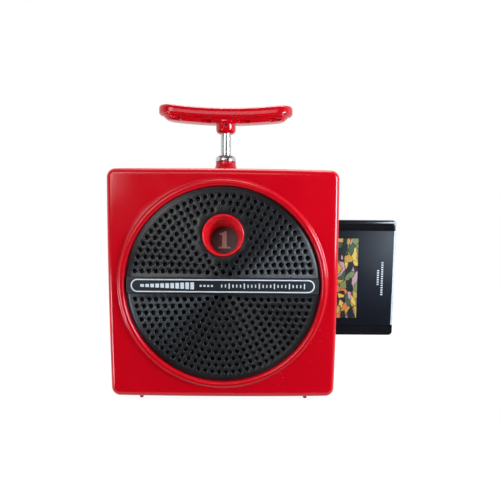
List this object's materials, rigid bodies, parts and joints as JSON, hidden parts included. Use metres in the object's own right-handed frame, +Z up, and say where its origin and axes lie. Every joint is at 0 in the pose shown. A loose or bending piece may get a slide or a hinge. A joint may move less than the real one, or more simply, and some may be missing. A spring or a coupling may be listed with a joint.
{
  "type": "portable 8-track tape player",
  "caption": "Square red portable cartridge tape player with a round black grille, a numbered program window and a T-handle plunger on top, with a cartridge in its side.",
  "frame": {"origin": "middle of the whole player's footprint (case, knobs and inserted cartridge), on the floor under the feet", "axes": "+X to the cartridge side, +Y to the back (the front face looks along -Y), +Z up"},
  "size_m": [0.247, 0.1138, 0.249],
  "materials": {
    "red_plastic": "glossy",
    "grille_plastic": "satin",
    "black_plastic": "satin",
    "cart_plastic": "glossy",
    "silver_trim": "polished",
    "chrome": "polished",
    "steel": "plated",
    "brass": "turned",
    "lens": "clear, lightly smoked",
    "wheel_plastic": "satin",
    "white_plastic": "moulded",
    "rubber": "matt",
    "paper_cone": "pressed paper",
    "magnet": "ground",
    "baffle_board": "black card",
    "board": "phenolic board",
    "parts": "sleeved",
    "cells": "printed steel jacket",
    "label": "printed, gloss",
    "end_label": "white",
    "tape": "wound tape",
    "pad": "foam"
  },
  "bodies": {
    "case": {"front_case": "red_plastic", "rear_case": "red_plastic", "grille": "grille_plastic", "name_band": "black_plastic", "band_outline": "silver_trim", "indicator_funnel": "red_plastic", "indicator_lens": "lens", "speaker_baffle": "baffle_board", "speaker_frame": "steel", "speaker_cone": "paper_cone", "speaker_magnet": "magnet", "speaker_screws": "steel", "chassis_plate": "steel", "cartridge_guide": "black_plastic", "motor": "steel", "capstan_bearing": "brass", "drive_belt": "rubber", "guide_posts": "steel", "mechanism_bracket": "steel", "plunger_bracket": "steel", "ferrule": "chrome", "plunger_bushing": "white_plastic", "return_spring": "steel", "slide_controls": "steel", "control_panel": "black_plastic", "power_jack": "black_plastic", "earphone_jack": "black_plastic", "circuit_board": "board", "board_parts": "parts", "battery_box": "black_plastic", "battery_cells": "cells", "battery_contacts": "steel", "case_screws": "steel", "chassis_screws": "steel"},
    "plunger": {"plunger_rod": "chrome", "handle_grip": "red_plastic", "handle_underside": "red_plastic", "handle_pin": "steel", "stop_washer": "steel", "pawl_arm": "steel"},
    "program": {"program_shaft": "steel", "number_wheel": "wheel_plastic", "ratchet_wheel": "white_plastic", "step_cam": "white_plastic"},
    "carriage": {"head_carriage": "steel", "tape_head": "steel"},
    "cartridge": {"cart_cover": "cart_plastic", "cart_base": "cart_plastic", "cart_label": "label", "cart_end_label": "end_label", "pressure_pads": "pad"},
    "reel": {"tape_reel": "white_plastic", "tape_pack": "tape"},
    "roller": {"pinch_roller": "rubber"},
    "flywheel": {"flywheel": "steel", "capstan_shaft": "steel"},
    "pulley": {"motor_pulley": "brass"},
    "volume": {"volume_knob": "black_plastic"},
    "tone": {"tone_knob": "black_plastic"},
    "door": {"battery_door": "red_plastic"}
  },
  "joints": [
    {"name": "plunger_press", "type": "slide", "parent": "case", "child": "plunger", "axis": [0, 0, -1], "range_m": [0, 0.014], "stiffness_N_per_m": 400, "springref_m": -0.01, "deforming": ["return_spring"]},
    {"name": "program_turn", "type": "hinge", "parent": "case", "child": "program", "pos_m": [-0.0479, 0.00115, 0.1333], "axis": [0, 1, 0], "continuous": true},
    {"name": "head_shift", "type": "slide", "parent": "case", "child": "carriage", "axis": [0, 1, 0], "range_m": [0, 0.0024]},
    {"name": "cartridge_slide", "type": "slide", "parent": "case", "child": "cartridge", "axis": [1, 0, 0], "range_m": [0, 0.09]},
    {"name": "reel_spin", "type": "hinge", "parent": "cartridge", "child": "reel", "pos_m": [0.0661, -0.00485, 0.1004], "axis": [0, 1, 0], "continuous": true},
    {"name": "roller_spin", "type": "hinge", "parent": "cartridge", "child": "roller", "pos_m": [0.0008, -0.00485, 0.0606], "axis": [0, 1, 0], "continuous": true},
    {"name": "flywheel_spin", "type": "hinge", "parent": "case", "child": "flywheel", "pos_m": [-0.0075, 0.01615, 0.0606], "axis": [0, 1, 0], "continuous": true},
    {"name": "motor_spin", "type": "hinge", "parent": "case", "child": "pulley", "pos_m": [-0.0869, 0.01615, 0.0436], "axis": [0, 1, 0], "continuous": true},
    {"name": "volume_slide", "type": "slide", "parent": "case", "child": "volume", "axis": [0, 0, 1], "range_m": [-0.018, 0.018]},
    {"name": "tone_slide", "type": "slide", "parent": "case", "child": "tone", "axis": [0, 0, 1], "range_m": [-0.018, 0.018]},
    {"name": "battery_door_hinge", "type": "hinge", "parent": "case", "child": "door", "pos_m": [-0.0259, 0.05495, 0.0173], "axis": [-1, 0, 0], "range_deg": [0, 100]}
  ],
  "couplings": [
    {"joint": "motor_spin", "follows": "flywheel_spin", "ratio": 6.0928},
    {"joint": "roller_spin", "follows": "reel_spin", "ratio": -5.9375}
  ]
}
